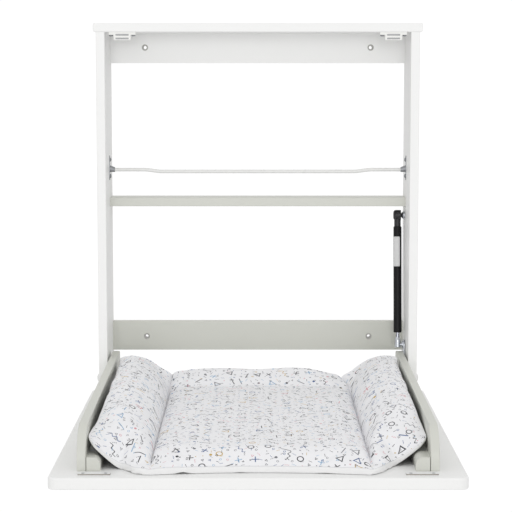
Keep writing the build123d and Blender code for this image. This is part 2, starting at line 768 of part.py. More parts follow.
with BuildPart() as mat_tapes:
    with BuildSketch(Plane.XY.offset(flap_top_z)):
        for step in (-1, 1):
            with Locations(*[(sign * tape_x, mat_mid_y + step * tape_pitch / 2) for _, sign in SIDES]):
                Rectangle(tape_width, tape_length)
    extrude(amount=tape_thickness)
keep("mat_grip_tapes", mat_tapes)

os.makedirs("parts", exist_ok=True)
for piece in pieces:
    export_step(piece, f"parts/{piece.label}.step")
print(len(pieces), "pieces, strut", round(strut_length, 1), "mm between balls")
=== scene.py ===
"""Fold-down changing table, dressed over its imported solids: boards, hardware, gas strut and padded mat."""
import json
import math

import bmesh
import bpy
import numpy as np
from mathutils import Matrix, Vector


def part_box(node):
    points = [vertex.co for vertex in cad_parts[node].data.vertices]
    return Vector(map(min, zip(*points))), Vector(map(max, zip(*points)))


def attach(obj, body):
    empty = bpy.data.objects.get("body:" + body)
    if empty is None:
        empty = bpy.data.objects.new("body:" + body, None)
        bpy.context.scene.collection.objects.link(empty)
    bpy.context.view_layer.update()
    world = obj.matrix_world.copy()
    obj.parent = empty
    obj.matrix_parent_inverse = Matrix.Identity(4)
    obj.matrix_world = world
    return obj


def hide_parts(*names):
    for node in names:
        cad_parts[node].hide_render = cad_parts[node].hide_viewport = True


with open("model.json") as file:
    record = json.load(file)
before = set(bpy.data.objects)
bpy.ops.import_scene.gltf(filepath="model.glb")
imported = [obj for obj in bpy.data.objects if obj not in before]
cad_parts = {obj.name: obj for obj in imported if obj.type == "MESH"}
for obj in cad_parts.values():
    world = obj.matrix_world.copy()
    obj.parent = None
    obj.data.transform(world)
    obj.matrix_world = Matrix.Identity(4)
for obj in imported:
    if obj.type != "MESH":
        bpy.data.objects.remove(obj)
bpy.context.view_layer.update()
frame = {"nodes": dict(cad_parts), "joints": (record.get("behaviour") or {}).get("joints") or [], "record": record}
MM = 0.001


# White boards: two stiles, the top board, the upper wall rail and the folding panel.
# MDF cut to size with eased edges and sprayed with a satin white lacquer; dowelled and screwed together.
# The rails' four wall screws sit in sinks, which are coloured a darker grey as painted shade inside them.
def linear_colour(hex_text):
    """Turns an sRGB hex colour into the linear values that a shader socket takes."""
    shares = [int(hex_text[start:start + 2], 16) / 255 for start in (1, 3, 5)]
    linear = [share / 12.92 if share <= 0.04045 else ((share + 0.055) / 1.055) ** 2.4 for share in shares]
    return (*linear, 1.0)


def add_node(tree, kind, *inputs, sockets=None, **settings):
    """Adds a node, sets its options and fills its inputs, in order or by name.

    An input is a number, a vector, an output socket, or a node whose first output is meant.
    """
    node = tree.nodes.new(kind)
    for name, value in settings.items():
        setattr(node, name, value)
    for key, value in [*enumerate(inputs), *(sockets or {}).items()]:
        if isinstance(value, bpy.types.Node):
            value = value.outputs[0]
        if isinstance(value, bpy.types.NodeSocket):
            tree.links.new(value, node.inputs[key])
        else:
            node.inputs[key].default_value = value
    return node


def new_material(name):
    """An empty node material and its tree."""
    material = bpy.data.materials.new(name)
    material.use_nodes = True
    material.node_tree.nodes.clear()
    return material, material.node_tree


def clouded(tree, place, size_mm, detail, low_hex, high_hex, rough_low, rough_high):
    """A colour and a roughness that vary together in soft patches of this size, and the patches."""
    patches = add_node(tree, "ShaderNodeTexNoise", place,
                       sockets={"Scale": 1000 / size_mm, "Detail": detail})
    colour = add_node(tree, "ShaderNodeMix", patches.outputs[0], data_type="RGBA",
                      sockets={6: linear_colour(low_hex), 7: linear_colour(high_hex)})
    rough = add_node(tree, "ShaderNodeMapRange", patches.outputs[0], 0.3, 0.7, rough_low, rough_high)
    return colour.outputs[2], rough, patches


def dress(material, *nodes):
    """Gives CAD nodes a better material."""
    for node in nodes:
        mesh = frame["nodes"][node].data
        mesh.materials.clear()
        mesh.materials.append(material)


wall_holes = next(mount for mount in frame["record"]["mounts"] if mount["name"] == "wall_fixing")["dims"]
sink_r = 7.2 * MM
sink_edge = 0.5 * MM
# Painted shade: the grey of the wall-screw sinks, standing in for the shade inside them.
sink_shade_hex = "#B9B8B4"


def sprayed_lacquer(name, low_hex, high_hex):
    """Satin lacquer on MDF: even colour, a faint mottle from the spray gun, fine orange peel, soft gloss, and
    painted shade in the wall-screw sinks.
    """
    mottle_mm = 120
    peel_mm = 3
    material, tree = new_material(name)
    place = add_node(tree, "ShaderNodeTexCoord").outputs["Object"]
    quarter = add_node(tree, "ShaderNodeVectorMath", place, operation="ABSOLUTE")
    hole = (wall_holes["spacing_x_mm"] / 2 * MM, 0, wall_holes["spacing_y_mm"] / 2 * MM)
    from_hole = add_node(tree, "ShaderNodeVectorMath", quarter, hole, operation="SUBTRACT")
    from_hole = add_node(tree, "ShaderNodeVectorMath", from_hole, (1, 0, 1), operation="MULTIPLY")
    from_hole = add_node(tree, "ShaderNodeVectorMath", from_hole, operation="LENGTH").outputs["Value"]
    # Painted shade: a darker grey disc in each wall-screw sink stands in for the shade inside it.
    painted_sink_shade = add_node(tree, "ShaderNodeMapRange", from_hole, sink_r - sink_edge, sink_r, 1.0, 0.0)
    colour, rough, _ = clouded(tree, place, mottle_mm, 4, low_hex, high_hex, 0.38, 0.46)
    peel = add_node(tree, "ShaderNodeTexNoise", place, sockets={"Scale": 1000 / peel_mm, "Detail": 2})
    colour = add_node(tree, "ShaderNodeMix", painted_sink_shade, data_type="RGBA",
                      sockets={6: colour, 7: linear_colour(sink_shade_hex)})
    bump = add_node(tree, "ShaderNodeBump",
                    sockets={"Strength": 0.12, "Distance": 0.05 * MM, "Height": peel})
    shader = add_node(tree, "ShaderNodeBsdfPrincipled", sockets={
        "Base Color": colour.outputs[2], "Roughness": rough, "Normal": bump, "IOR": 1.5})
    add_node(tree, "ShaderNodeOutputMaterial", shader)
    return material


white_lacquer = sprayed_lacquer("satin_white_lacquer", "#EFEFEE", "#F4F4F3")
dress(white_lacquer, "left_stile", "right_stile", "top_board", "upper_wall_rail", "flap_panel")


# Grey boards: the lower wall rail, the shelf, the flap's side boards and the cleats under the mat's wings.
# The same sprayed MDF in a warm pale grey; the shelf and rail are screwed between the stiles.
grey_lacquer = sprayed_lacquer("satin_grey_lacquer", "#CECFC7", "#D4D5CD")
dress(grey_lacquer, "lower_wall_rail", "shelf_board", "left_side_board", "right_side_board",
      "left_cleat", "right_cleat")


# Beech dowels between stiles and top board: turned from straight-grained wood.
# They are glued into both boards and hidden in the joint.
def turned_beech():
    """Raw beech: pale tan with fine darker fleck along the grain, dry and matt."""
    grain_mm = 1.5
    material, tree = new_material("raw_beech")
    place = add_node(tree, "ShaderNodeTexCoord").outputs["Object"]
    along = add_node(tree, "ShaderNodeMapping", place, sockets={"Scale": (1, 1, 0.08)})
    colour, rough, _ = clouded(tree, along, grain_mm, 3, "#B98D5E", "#DDBB8E", 0.62, 0.74)
    shader = add_node(tree, "ShaderNodeBsdfPrincipled", sockets={"Base Color": colour, "Roughness": rough})
    add_node(tree, "ShaderNodeOutputMaterial", shader)
    return material


dress(turned_beech(), "top_board_dowels")


# Zinc hardware: long frame screws, rod sockets, studs, bracket, nuts and the strut's rod end.
# Pressed, cast or turned metal with a thin zinc plating, which is silvery and slightly cloudy.
# The catches' pole plates are bare steel, ground flat.
def plated_metal(name, low_hex, high_hex, rough_low, rough_high):
    """Plated metal: silvery, with a soft cloud of brighter and duller patches and a fine drawn grain."""
    cloud_mm = 6
    grain_mm = 0.8  # the real grain is about 0.1 mm, drawn coarser so that it shows close up
    material, tree = new_material(name)
    place = add_node(tree, "ShaderNodeTexCoord").outputs["Object"]
    colour, rough, _ = clouded(tree, place, cloud_mm, 3, low_hex, high_hex, rough_low, rough_high)
    grain = add_node(tree, "ShaderNodeTexNoise", place, sockets={"Scale": 1000 / grain_mm, "Detail": 2})
    bump = add_node(tree, "ShaderNodeBump",
                    sockets={"Strength": 0.1, "Distance": 0.03 * MM, "Height": grain})
    shader = add_node(tree, "ShaderNodeBsdfPrincipled", sockets={
        "Base Color": colour, "Metallic": 1.0, "Roughness": rough, "Normal": bump})
    add_node(tree, "ShaderNodeOutputMaterial", shader)
    return material


bright_zinc = plated_metal("bright_zinc_plate", "#C2C6CC", "#DADDE2", 0.3, 0.46)
dress(bright_zinc, "frame_screws", "cleat_screws", "strut_bracket", "strut_foot_stud", "strut_head_stud",
      "pivot_lock_nuts", "strut_rod_end")
dull_zinc = plated_metal("dull_zinc_plate", "#929497", "#A8AAAD", 0.34, 0.46)
dress(dull_zinc, "rod_socket_left", "rod_socket_right")
dress(plated_metal("ground_pole_steel", "#868788", "#929394", 0.4, 0.5), "catch_pole_plates")


# Strike plates screwed to the panel, where the catches' magnets meet it when the flap is shut.
# Pressed steel with a white zinc coat on the faces that look up and grey metal on the faces that look sideways.
def coated_plate():
    """A pressed plate: cloudy white coat where it faces up, grey metal on the faces that look sideways."""
    cloud_mm = 8
    material, tree = new_material("white_zinc_coat")
    source = add_node(tree, "ShaderNodeTexCoord").outputs
    coat, rough, _ = clouded(tree, source["Object"], cloud_mm, 3, "#E6E7E8", "#F2F2F2", 0.4, 0.5)
    upward = add_node(tree, "ShaderNodeSeparateXYZ", source["Normal"]).outputs[2]
    facing_sideways = add_node(tree, "ShaderNodeMapRange", upward, 0.5, 0.9, 1.0, 0.0)
    colour = add_node(tree, "ShaderNodeMix", facing_sideways, data_type="RGBA",
                      sockets={6: coat, 7: linear_colour("#96928C")})
    shader = add_node(tree, "ShaderNodeBsdfPrincipled", sockets={
        "Base Color": colour.outputs[2], "Metallic": facing_sideways, "Roughness": rough})
    add_node(tree, "ShaderNodeOutputMaterial", shader)
    return material


dress(coated_plate(), "strike_plates")


# White moulded plastic: catch housings, and the spacers and bushes of the pivots.
# Injection-moulded nylon, slightly warmer than the lacquer, with a fine satin mould texture.
def moulded_plastic(name, low_hex, high_hex, rough_low, rough_high):
    """Moulded nylon: even colour that clouds a little, and a fine satin texture from the mould."""
    cloud_mm = 15
    texture_mm = 0.9  # the real texture is about 0.3 mm, drawn coarser so that it shows close up
    material, tree = new_material(name)
    place = add_node(tree, "ShaderNodeTexCoord").outputs["Object"]
    colour, rough, _ = clouded(tree, place, cloud_mm, 2, low_hex, high_hex, rough_low, rough_high)
    texture = add_node(tree, "ShaderNodeTexNoise", place, sockets={"Scale": 1000 / texture_mm, "Detail": 1})
    bump = add_node(tree, "ShaderNodeBump",
                    sockets={"Strength": 0.15, "Distance": 0.03 * MM, "Height": texture})
    shader = add_node(tree, "ShaderNodeBsdfPrincipled", sockets={
        "Base Color": colour, "Roughness": rough, "Normal": bump, "IOR": 1.53})
    add_node(tree, "ShaderNodeOutputMaterial", shader)
    return material


white_plastic = moulded_plastic("moulded_white_nylon", "#EDEDEA", "#F3F3F0", 0.42, 0.52)
dress(white_plastic, "catch_housing_left", "catch_housing_right", "pivot_spacers", "pivot_bush_left",
      "pivot_bush_right")


# Cover caps: small domed discs of the same white nylon, flush round the rim.
# They are pressed over the heads of the long frame screws.
def separate_solids(node):
    """The corners of each separate solid in a CAD node, as one array for each."""
    shape = bmesh.new()
    shape.from_mesh(frame["nodes"][node].data)
    bmesh.ops.remove_doubles(shape, verts=shape.verts, dist=0.001 * MM)
    waiting = set(shape.verts)
    solids = []
    while waiting:
        reached = [waiting.pop()]
        for corner in reached:
            near = {edge.other_vert(corner) for edge in corner.link_edges} & waiting
            waiting -= near
            reached.extend(near)
        solids.append(np.array([corner.co for corner in reached]))
    shape.free()
    return sorted(solids, key=lambda corners: [round(value, 5) for value in corners.mean(0)])


def plain_mesh(name, shape):
    """Turns a finished shape into a mesh."""
    mesh = bpy.data.meshes.new(name)
    shape.to_mesh(mesh)
    shape.free()
    return mesh


def turned_mesh(name, profile, steps):
    """Spins a profile of (radius, height) points round Z into a closed mesh."""
    shape = bmesh.new()
    corners = [shape.verts.new((radius, 0, height)) for radius, height in profile]
    edges = [shape.edges.new(pair) for pair in zip(corners, corners[1:])]
    bmesh.ops.spin(shape, geom=corners + edges, axis=(0, 0, 1), cent=(0, 0, 0), steps=steps,
                   angle=2 * math.pi)
    bmesh.ops.remove_doubles(shape, verts=shape.verts, dist=1e-5)
    bmesh.ops.recalc_face_normals(shape, faces=shape.faces)
    for face in shape.faces:
        face.smooth = True
    return plain_mesh(name, shape)


def show(name, mesh):
    """A new object at the origin that holds the mesh."""
    piece = bpy.data.objects.new(name, mesh)
    bpy.context.scene.collection.objects.link(piece)
    return piece


def finished_mesh(piece, name):
    """The piece's mesh with its modifiers worked out, as a plain mesh."""
    bpy.context.view_layer.update()
    seen = piece.evaluated_get(bpy.context.evaluated_depsgraph_get())
    mesh = bpy.data.meshes.new_from_object(seen)
    mesh.name = name
    return mesh


def set_out_tree():
    """Geometry Nodes that set one small part at every point, square to its seat and turned at random."""
    tree = bpy.data.node_groups.new("set_out_hardware", "GeometryNodeTree")
    for name, kind in (("Seats", "Geometry"), ("Part", "Object"), ("Radius", "Float"), ("Seed", "Int"),
                       ("Finish", "Material")):
        tree.interface.new_socket(name, in_out="INPUT", socket_type=f"NodeSocket{kind}")
    tree.interface.new_socket("Hardware", in_out="OUTPUT", socket_type="NodeSocketGeometry")
    given = add_node(tree, "NodeGroupInput").outputs
    part = add_node(tree, "GeometryNodeObjectInfo", sockets={"Object": given["Part"]})
    facing = add_node(tree, "GeometryNodeInputNamedAttribute", data_type="FLOAT_VECTOR",
                      sockets={"Name": "facing"})
    square = add_node(tree, "FunctionNodeAlignRotationToVector", sockets={"Vector": facing}, axis="Z")
    turn = add_node(tree, "FunctionNodeRandomValue",
                    sockets={2: 0.0, 3: 2 * math.pi, "Seed": given["Seed"]})
    roll = add_node(tree, "FunctionNodeAxisAngleToRotation", (0, 0, 1), turn.outputs[1])
    rotation = add_node(tree, "FunctionNodeRotateRotation", square, roll, rotation_space="LOCAL")
    placed = add_node(tree, "GeometryNodeInstanceOnPoints", sockets={
        "Points": given["Seats"], "Instance": part.outputs["Geometry"], "Rotation": rotation,
        "Scale": given["Radius"]})
    solid = add_node(tree, "GeometryNodeRealizeInstances", placed)
    coated = add_node(tree, "GeometryNodeSetMaterial",
                      sockets={"Geometry": solid, "Material": given["Finish"]})
    add_node(tree, "NodeGroupOutput", coated)
    return tree


def set_out(name, node, body, part_mesh, flat, seed, finish):
    """Puts a part of unit radius in the place of every solid of a CAD node, facing the way its head does.

    A flat solid, such as a cap, faces away from the table's middle; a long one, such as a screw, faces the
    end where it is widest.
    """
    seats, facings = [], []
    radius = 0
    rim_share = 0.95
    for corners in separate_solids(node):
        low, high = corners.min(0), corners.max(0)
        axis = int(np.argmin(high - low) if flat else np.argmax(high - low))
        across = np.linalg.norm(np.delete(corners - (low + high) / 2, axis, 1), axis=1)
        radius = across.max()
        rim = corners[across > rim_share * radius, axis].mean()
        outward = (low[0] + high[0]) * (1 if axis == 0 else 0)
        upward = outward > 0 if flat else rim > (low[axis] + high[axis]) / 2
        facing = np.eye(3)[axis] * (1 if upward else -1)
        seat = (low + high) / 2
        seat[axis] = high[axis] if upward else low[axis]
        seats.append(seat)
        facings.append(facing)
    points = bpy.data.meshes.new(name)
    points.from_pydata(seats, [], [])
    points.attributes.new("facing", "FLOAT_VECTOR", "POINT").data.foreach_set("vector", np.ravel(facings))
    piece = show(name, points)
    part = show(f"{name}_part", part_mesh)
    nodes = piece.modifiers.new("set_out", "NODES")
    nodes.node_group = hardware_tree
    values = {"Part": part, "Radius": float(radius), "Seed": seed, "Finish": finish}
    for socket in hardware_tree.interface.items_tree:
        if socket.name in values:
            nodes[socket.identifier] = values[socket.name]
    piece.data = finished_mesh(piece, name)
    piece.modifiers.clear()
    bpy.data.objects.remove(part)
    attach(piece, body)
    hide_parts(node)


hardware_tree = set_out_tree()
cap_profile = [(0, 0), (0.45, -0.012), (0.8, -0.05), (0.95, -0.09), (1, -0.13), (1, -0.166), (0, -0.166)]
set_out("cover_caps", "frame_screw_caps", "frame",
        turned_mesh("cover_cap", cap_profile, 28), True, 3, white_plastic)


# Small screws: round-headed ones in the rod sockets and catches, sunk ones in the strike plates and the
# strut's bracket. Cold-headed steel with a cross recess, zinc plated and driven into the boards, so that
# each stops at its own turn.
def cut_away(piece, shape):
    """The piece's mesh with a shape cut out of it."""
    cutter = show(f"{piece.name}_cutter", plain_mesh("cutter", shape))
    cut = piece.modifiers.new("cut", "BOOLEAN")
    cut.operation = "DIFFERENCE"
    cut.object = cutter
    mesh = finished_mesh(piece, piece.name)
    piece.modifiers.clear()
    bpy.data.objects.remove(cutter)
    return mesh


def cross_screw(name, profile, arm, half_width, depth):
    """A screw of unit head radius, its top at zero height, with a tapered cross recess cut in its head."""
    screw = show(name, turned_mesh(name, profile, 24))
    shape = bmesh.new()
    near, far = half_width, arm
    plus = [(far, near), (near, near), (near, far), (-near, far), (-near, near), (-far, near),
            (-far, -near), (-near, -near), (-near, -far), (near, -far), (near, -near), (far, -near)]
    rings = [[shape.verts.new((x * taper, y * taper, height)) for x, y in plus]
             for taper, height in ((1.05, 0.2), (0.55, -depth))]
    for index in range(len(plus)):
        after = (index + 1) % len(plus)
        shape.faces.new((rings[0][index], rings[0][after], rings[1][after], rings[1][index]))
    shape.faces.new(rings[0])
    shape.faces.new(rings[1])
    bmesh.ops.recalc_face_normals(shape, faces=shape.faces)
    mesh = cut_away(screw, shape)
    bpy.data.objects.remove(screw)
    return mesh


round_head = [(0, 0), (0.4, -0.03), (0.72, -0.14), (0.93, -0.34), (1, -0.52), (1, -0.727), (0.398, -0.727),
              (0.398, -3.5), (0, -3.909)]
sunk_head = [(0, 0), (0.97, 0), (1, -0.03), (0.547, -0.48), (0.547, -4.1), (0, -4.375)]
round_screw = cross_screw("round_screw", round_head, 0.56, 0.13, 0.42)
sunk_screw = cross_screw("sunk_screw", sunk_head, 0.6, 0.14, 0.36)
screw_groups = (("socket_screws", "rod_socket_screws", "frame", round_screw, 11),
                ("catch_fixing_screws", "catch_screws", "frame", round_screw, 12),
                ("strike_fixing_screws", "strike_plate_screws", "flap", sunk_screw, 13),
                ("bracket_fixing_screws", "strut_bracket_screws", "flap", sunk_screw, 14))
for name, node, body, screw, seed in screw_groups:
    set_out(name, node, body, screw, False, seed, dull_zinc)


# Retaining rod across the frame above the shelf: a bent steel bar, held at its ends in two screwed sockets.
# It is coated with stoved white enamel.
def stoved_enamel(name, low_hex, high_hex, rough_low, rough_high, shine):
    """Stoved enamel on steel: smooth and glossy, with a slight ripple where the coat ran."""
    ripple_mm = 12
    material, tree = new_material(name)
    place = add_node(tree, "ShaderNodeTexCoord").outputs["Object"]
    colour, rough, ripple = clouded(tree, place, ripple_mm, 2, low_hex, high_hex, rough_low, rough_high)
    bump = add_node(tree, "ShaderNodeBump",
                    sockets={"Strength": 0.08, "Distance": 0.05 * MM, "Height": ripple})
    shader = add_node(tree, "ShaderNodeBsdfPrincipled", sockets={
        "Base Color": colour, "Roughness": rough, "Normal": bump, "Specular IOR Level": shine})
    add_node(tree, "ShaderNodeOutputMaterial", shader)
    return material


white_enamel = stoved_enamel("white_stoved_enamel", "#E2E2E0", "#EAEAE8", 0.25, 0.33, 0.5)
dress(white_enamel, "retaining_rod")


# Catch magnets: flat blocks of sintered ferrite, dark grey and granular.
# Each is held between two pole plates in its catch's housing.
def sintered_ferrite():
    """Ferrite: a fired dark grey ceramic with a fine grain and no shine."""
    grain_mm = 1.2  # the real grain is about 0.1 mm, drawn coarser so that it shows close up
    material, tree = new_material("sintered_ferrite")
    place = add_node(tree, "ShaderNodeTexCoord").outputs["Object"]
    colour, rough, _ = clouded(tree, place, grain_mm, 3, "#26272A", "#3A3B3E", 0.6, 0.75)
    shader = add_node(tree, "ShaderNodeBsdfPrincipled", sockets={"Base Color": colour, "Roughness": rough})
    add_node(tree, "ShaderNodeOutputMaterial", shader)
    return material


dress(sintered_ferrite(), "catch_magnets")


# Pivot bolts: button-headed bolts through stile and side board that the flap turns on.
# Turned steel with a hexagon socket in the domed head, enamelled white like the rod.
bolt_head_height = 7 * MM
bolt_flat_turn = 0.35
bolt_shank_r = 5 * MM
bolt_tip = 1 * MM
hexagon_r = 3.5 * MM
hexagon_depth = 4 * MM
for side, sign in (("left", -1), ("right", 1)):
    low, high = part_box(f"pivot_bolt_{side}")
    head_r = (high.z - low.z) / 2
    length = high.x - low.x
    dome = [(head_r * math.sin(turn), -bolt_head_height / 2 * (1 - math.cos(turn)))
            for turn in np.linspace(bolt_flat_turn, math.pi / 2, 7)]
    bolt_profile = [(0, dome[0][1]), *dome, (head_r, -bolt_head_height), (bolt_shank_r, -bolt_head_height),
                    (bolt_shank_r, -length + bolt_tip), (bolt_shank_r - bolt_tip, -length), (0, -length)]
    bolt = show(f"button_bolt_{side}", turned_mesh(f"button_bolt_{side}", bolt_profile, 36))
    shape = bmesh.new()
    bmesh.ops.create_cone(shape, cap_ends=True, segments=6, radius1=hexagon_r, radius2=hexagon_r,
                          depth=2 * hexagon_depth)
    bolt.data = cut_away(bolt, shape)
    tip = Vector((high.x if sign > 0 else low.x, (low.y + high.y) / 2, (low.z + high.z) / 2))
    for corner in bolt.data.vertices:
        out, across, up = corner.co.z, corner.co.x, corner.co.y
        corner.co = tip + Vector((sign * out, sign * across, up))
    bolt.data.materials.append(white_enamel)
    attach(bolt, "frame")
    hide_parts(f"pivot_bolt_{side}")


# Gas strut: a black enamelled steel tube with plastic head socket and gland, and a hard-chromed piston rod.
# The head socket snaps on the stile's ball stud, and the rod's end on the stud of the flap's bracket.
dress(stoved_enamel("black_tube_enamel", "#121214", "#19191B", 0.42, 0.5, 0.2), "strut_tube")
dress(moulded_plastic("moulded_black_nylon", "#17171A", "#222226", 0.42, 0.52),
      "strut_head_socket", "strut_gland", "strut_piston")


def hard_chrome():
    """Ground and chromed steel: a bright, slightly blue mirror with a faint ground grain round the bar."""
    grain_mm = 0.6  # the real grain is about 0.05 mm, drawn coarser so that it shows close up
    material, tree = new_material("ground_hard_chrome")
    place = add_node(tree, "ShaderNodeTexCoord").outputs["Object"]
    colour, rough, _ = clouded(tree, place, grain_mm, 2, "#9A9CA4", "#AEB0B8", 0.18, 0.28)
    shader = add_node(tree, "ShaderNodeBsdfPrincipled", sockets={
        "Base Color": colour, "Metallic": 1.0, "Roughness": rough})
    add_node(tree, "ShaderNodeOutputMaterial", shader)
    return material


dress(hard_chrome(), "strut_rod")


# Blank label on the strut's tube: a strip of white coated film with rounded corners.
# It is stuck round the left front of the tube.
def coated_film():
    """White label film: slightly off-white with faint paper-like cloud, satin coat."""
    cloud_mm = 10
    material, tree = new_material("coated_label_film")
    place = add_node(tree, "ShaderNodeTexCoord").outputs["Object"]
    colour, rough, _ = clouded(tree, place, cloud_mm, 4, "#D2D2D2", "#DEDEDE", 0.38, 0.5)
    shader = add_node(tree, "ShaderNodeBsdfPrincipled", sockets={"Base Color": colour, "Roughness": rough})
    add_node(tree, "ShaderNodeOutputMaterial", shader)
    return material


joints = {joint["name"]: joint for joint in frame["joints"]}
strut_foot = Vector(joints["strut_foot_pivot"]["pos_m"])
strut_way = Vector(joints["strut_slide"]["axis"]).normalized()
label_start, label_end = 172.8 * MM, 238.8 * MM
label_from, label_to = math.radians(-72), math.radians(31)
label_r = 9.15 * MM
label_film = 0.12 * MM
label_corner = 1 * MM
label_steps = 24
tube_right = Vector((1, 0, 0))
tube_front = tube_right.cross(strut_way).normalized()
if tube_front.y > 0:
    tube_front = -tube_front
shape = bmesh.new()
label_rows = []
for row in range(label_steps + 1):
    run = label_start + (label_end - label_start) * row / label_steps
    to_end = min(run - label_start, label_end - run)
    trim = label_corner - math.sqrt(max(label_corner ** 2 - max(label_corner - to_end, 0) ** 2, 0))
    first, last = label_from + trim / label_r, label_to - trim / label_r
    line = []
    for column in range(label_steps + 1):
        turn = first + (last - first) * column / label_steps
        out = tube_right * math.sin(turn) + tube_front * math.cos(turn)
        line.append(shape.verts.new(strut_foot + strut_way * run + out * label_r))
    label_rows.append(line)
for row in range(label_steps):
    for column in range(label_steps):
        shape.faces.new((label_rows[row][column], label_rows[row][column + 1],
                         label_rows[row + 1][column + 1], label_rows[row + 1][column])).smooth = True
bmesh.ops.recalc_face_normals(shape, faces=shape.faces)
middle = label_rows[label_steps // 2][label_steps // 2]
middle.normal_update()
if middle.normal.dot(middle.co - strut_foot - strut_way * (middle.co - strut_foot).dot(strut_way)) < 0:
    bmesh.ops.reverse_faces(shape, faces=shape.faces)
label = show("strut_label", plain_mesh("strut_label", shape))
film = label.modifiers.new("film", "SOLIDIFY")
film.thickness = label_film
film.offset = -1
label.data = finished_mesh(label, "strut_label")
label.modifiers.clear()
label.data.materials.append(coated_film())
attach(label, "strut_cylinder")


# Changing mat: a foam pad in a printed cotton cover, flat in the middle, with raised wings and rear end.
# Top and bottom are sewn to a plain side band, and sewn folds let wings and rear stand up by the boards.
# Its cover is cut flat, u across and v lengthways in millimetres, then folded up and stuffed.
mat_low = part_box("changing_mat")[0]
panel_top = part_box("flap_panel")[1].z
tape_mm = (mat_low.z - panel_top) / MM
floor_mm = 0.4
flat_front, flat_front_run = 20, 60
front_v = mat_low.y / MM + 13
front_bow, front_bow_run = 17.5, 90
fold_v = -216
rear_length, rear_run = 83, 57
rear_v = fold_v + rear_length
rear_rise, rear_curve, rear_dip_run = 49.5, 1.3, 90
cut_front, cut_rear = 308, 318
corner_r, rear_corner_r = 14, 10
edge_mm, full_mm, edge_slope = 14.2, 27, 60
wing_thinning, thinning_from = 7, 0.3
wing_height, wing_gain, wing_gain_share, wing_curve = 54, 20, 0.6, 2.4
wing_reach, board_gap_run = 304.8, 100
rear_closing, closing_from, closing_run = 3.5, 0.5, 0.4
edge_waves = ((0.5, 41, 0), (0.4, 23, 1))
tip_reach, tip_curve = 150, 1.2
upright_from, upright_run = 0.6, 0.35
raised_from, raised_run, rear_raised_run = 0.45, 0.4, 0.6
side_drop, side_from, side_drop_from, side_drop_run = 22, 0.75, 0.3, 0.3
crease_half, crease_depth, crease_curve = 13, 20, 1.3
crease_front_loss, crease_front_run, crease_rear_loss = 17, 55, 0.4
gather, gather_most, gather_front_loss = 1.4, 0.85, 0.8
rear_crease_depth, rear_crease_at, rear_crease_half = 2, 10, 18
rear_crease_end, rear_crease_fade = 20, 30
left_wing = dict(fold=190, lean=4, slant=36, slant_from=211, slant_run=38, tip_rise=49, tip_from=247,
                 rear_dip=5.5, rear_dip_from=100, rear_drop=9, board_gap=9.6)
right_wing = dict(fold=199.5, lean=19, slant=61, slant_from=203, slant_run=53, tip_rise=43, tip_from=245,
                  rear_dip=12.5, rear_dip_from=90, rear_drop=-2.5, board_gap=6.4)
front_puckers = ((-133, 11, 3), (-31, 8, 1), (118, 13, 1))
pucker_run = 14


def smooth_step(share):
    """A soft ramp from 0 to 1."""
    share = np.clip(share, 0, 1)
    return share * share * (3 - 2 * share)


def of_wing(u, size):
    """A size of the wing on whose side a point lies."""
    return np.where(u > 0, right_wing[size], left_wing[size])


def along(v):
    """0 at the mat's front end and 1 at its rear end."""
    return np.clip((v - front_v) / (rear_v - front_v), 0, 1)


def up_rear(v):
    """0 on the flat of the mat and 1 at the top of its raised rear end."""
    return np.clip((v - fold_v) / rear_length, 0, 1)


def fold_at(u, v):
    """Distance of the sewn fold from the middle; on the raised rear end it leans inwards."""
    lean = np.where(u > 0, up_rear(v) ** 2, up_rear(v))
    return of_wing(u, "fold") - of_wing(u, "lean") * lean


def cut_half(v):
    """Half the width of the flat cut."""
    return cut_front + (cut_rear - cut_front) * along(v)


def wing_share(u, v):
    """0 at the sewn fold and 1 at the wing's outer edge."""
    fold = fold_at(u, v)
    return np.clip((np.abs(u) - fold) / (cut_half(v) - fold), 0, 1)


def front_slant(u):
    """How far the front edge lies behind the middle's: it curves back outside the folds."""
    outside = (np.abs(u) - of_wing(u, "slant_from")) / of_wing(u, "slant_run")
    return of_wing(u, "slant") * smooth_step(outside)


def front_rise(u):
    """How far the front edge is lifted off the panel towards the wings' tips."""
    start = of_wing(u, "tip_from")
    return of_wing(u, "tip_rise") * np.clip((np.abs(u) - start) / (cut_front - start), 0, 1) ** tip_curve


def from_front(u, v):
    """Distance behind the front edge."""
    return v - front_v - front_slant(u)


def inside_edge(u, v):
    """Distance from the nearest sewn edge."""
    return np.minimum(np.minimum(from_front(u, v), cut_half(v) - np.abs(u)), rear_v - v)


def near_front(u, v, reach):
    """1 at the front edge, falling to 0 this far behind it."""
    return 1 - smooth_step(from_front(u, v) / reach)


def rest_height(u, v):
    """Height of the underside over the panel: on the grip tapes, and right down along the front."""
    return floor_mm + (tape_mm - floor_mm) * smooth_step((from_front(u, v) - flat_front) / flat_front_run)


def rear_height(u, v):
    """Rise of the rear end by itself: highest in its middle, lower beside the folds and on the wings."""
    dip = of_wing(u, "rear_dip") * smooth_step((np.abs(u) - of_wing(u, "rear_dip_from")) / rear_dip_run)
    lower = dip + of_wing(u, "rear_drop") * wing_share(u, v)
    return (rear_rise - lower) * up_rear(v) ** rear_curve


def pad_thickness(u, v):
    """The pad is thinner along its sewn edges, most of all on the wings, and full inside."""
    edge = edge_mm - wing_thinning * smooth_step((wing_share(u, v) - thinning_from) / (1 - thinning_from))
    return edge + (full_mm - edge) * smooth_step(inside_edge(u, v) / edge_slope)


